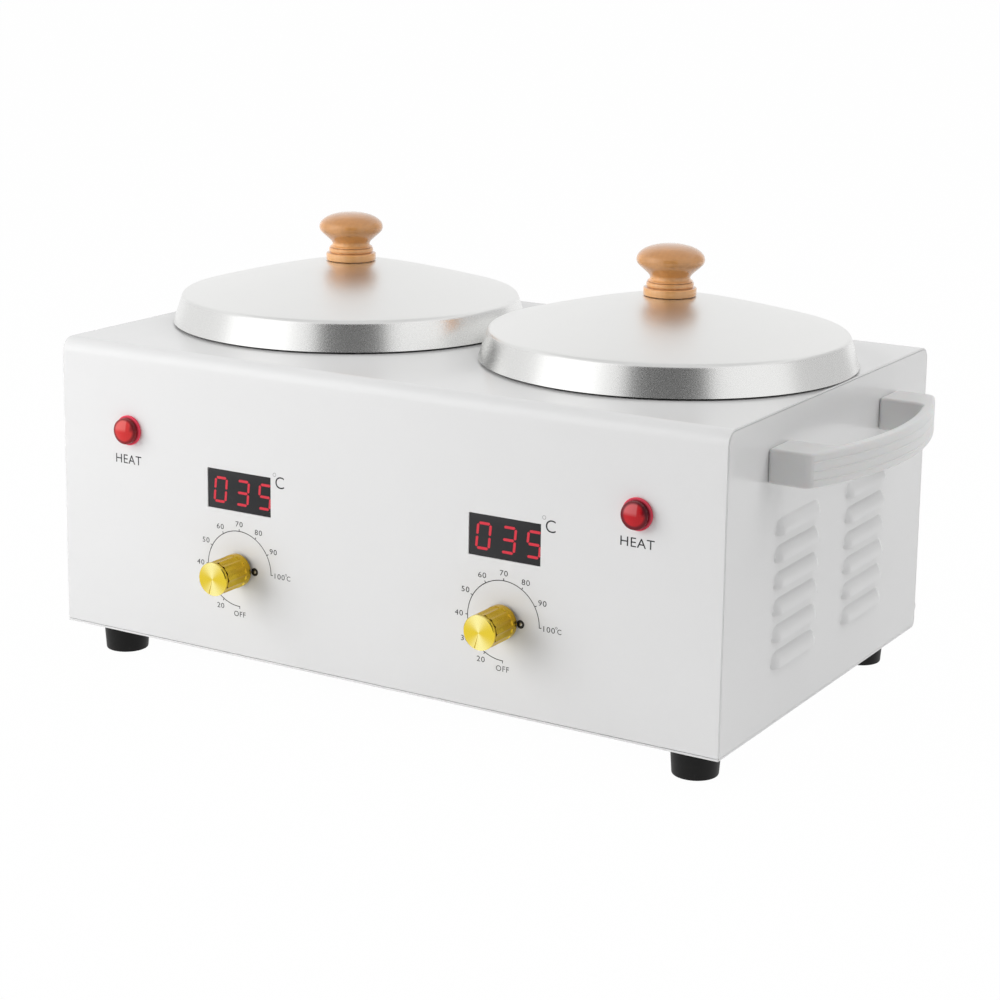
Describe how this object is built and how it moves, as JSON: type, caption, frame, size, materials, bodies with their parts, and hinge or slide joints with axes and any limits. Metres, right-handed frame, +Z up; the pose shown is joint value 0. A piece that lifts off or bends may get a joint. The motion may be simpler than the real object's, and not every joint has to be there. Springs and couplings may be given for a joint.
{
  "type": "double wax warmer",
  "caption": "Countertop double wax warmer: louvred sheet-metal case, lidded lift-out pots side by side, a dial, display and lamp for each pot, bowed side handles, rubber feet.",
  "frame": {"origin": "on the table under the middle of the warmer: centre of the bounding box, at its lowest level", "axes": "+X to the viewer's right along the front, +Y from the front panel to the back, +Z up"},
  "size_m": [0.442, 0.2568, 0.2214],
  "materials": {
    "white_enamel": "gloss",
    "white_plastic": "satin",
    "bare_aluminium": "satin, spun",
    "gold_aluminium": "polished gold anodised",
    "zinc_steel": "zinc plated",
    "lacquered_wood": "clear lacquer",
    "black_rubber": "matte",
    "black_plastic": "satin",
    "red_lens": "translucent gloss",
    "board_green": "solder resist",
    "heater_mica": "matte"
  },
  "bodies": {
    "case": {"case_wrap": "white_enamel", "base_plate": "white_enamel", "side_panel_left": "white_enamel", "side_panel_right": "white_enamel", "handle_left": "white_plastic", "handle_right": "white_plastic", "handle_screw_left_front": "zinc_steel", "handle_screw_left_back": "zinc_steel", "handle_screw_right_front": "zinc_steel", "handle_screw_right_back": "zinc_steel", "base_screw_left_front": "zinc_steel", "base_screw_right_front": "zinc_steel", "base_screw_left_back": "zinc_steel", "base_screw_right_back": "zinc_steel", "foot_left_front": "black_rubber", "foot_right_front": "black_rubber", "foot_left_back": "black_rubber", "foot_right_back": "black_rubber", "foot_screw_left_front": "zinc_steel", "foot_screw_right_front": "zinc_steel", "foot_screw_left_back": "zinc_steel", "foot_screw_right_back": "zinc_steel", "mains_inlet": "black_plastic", "inlet_pin_live": "zinc_steel", "inlet_pin_neutral": "zinc_steel", "inlet_pin_earth": "zinc_steel", "inlet_screw_left": "zinc_steel", "inlet_screw_right": "zinc_steel", "well_left": "bare_aluminium", "well_right": "bare_aluminium", "heater_left": "heater_mica", "heater_right": "heater_mica", "heater_clamp_left": "zinc_steel", "heater_clamp_right": "zinc_steel", "thermal_cutout_left": "black_plastic", "thermal_cutout_right": "black_plastic", "display_left": "black_plastic", "display_right": "black_plastic", "control_board_left": "board_green", "control_board_right": "board_green", "potentiometer_left": "zinc_steel", "potentiometer_right": "zinc_steel", "lamp_lens_left": "red_lens", "lamp_lens_right": "red_lens", "lamp_body_left": "black_plastic", "lamp_body_right": "black_plastic"},
    "left_pot": {"pot_left": "bare_aluminium"},
    "right_pot": {"pot_right": "bare_aluminium"},
    "left_lid": {"lid_left": "bare_aluminium", "lid_knob_left": "lacquered_wood", "lid_screw_left": "zinc_steel"},
    "right_lid": {"lid_right": "bare_aluminium", "lid_knob_right": "lacquered_wood", "lid_screw_right": "zinc_steel"},
    "left_dial": {"dial_knob_left": "gold_aluminium", "dial_shaft_left": "zinc_steel"},
    "right_dial": {"dial_knob_right": "gold_aluminium", "dial_shaft_right": "zinc_steel"}
  },
  "joints": [
    {"name": "left_pot_lift", "type": "slide", "parent": "case", "child": "left_pot", "axis": [0, 0, 1], "range_m": [0, 0.13]},
    {"name": "right_pot_lift", "type": "slide", "parent": "case", "child": "right_pot", "axis": [0, 0, 1], "range_m": [0, 0.13]},
    {"name": "left_lid_lift", "type": "slide", "parent": "left_pot", "child": "left_lid", "axis": [0, 0, 1], "range_m": [0, 0.1]},
    {"name": "right_lid_lift", "type": "slide", "parent": "right_pot", "child": "right_lid", "axis": [0, 0, 1], "range_m": [0, 0.1]},
    {"name": "left_dial_turn", "type": "hinge", "parent": "case", "child": "left_dial", "pos_m": [-0.075, -0.1069, 0.061], "axis": [0, 1, 0], "range_deg": [-15, 255]},
    {"name": "right_dial_turn", "type": "hinge", "parent": "case", "child": "right_dial", "pos_m": [0.075, -0.1069, 0.061], "axis": [0, 1, 0], "range_deg": [-15, 255]}
  ]
}
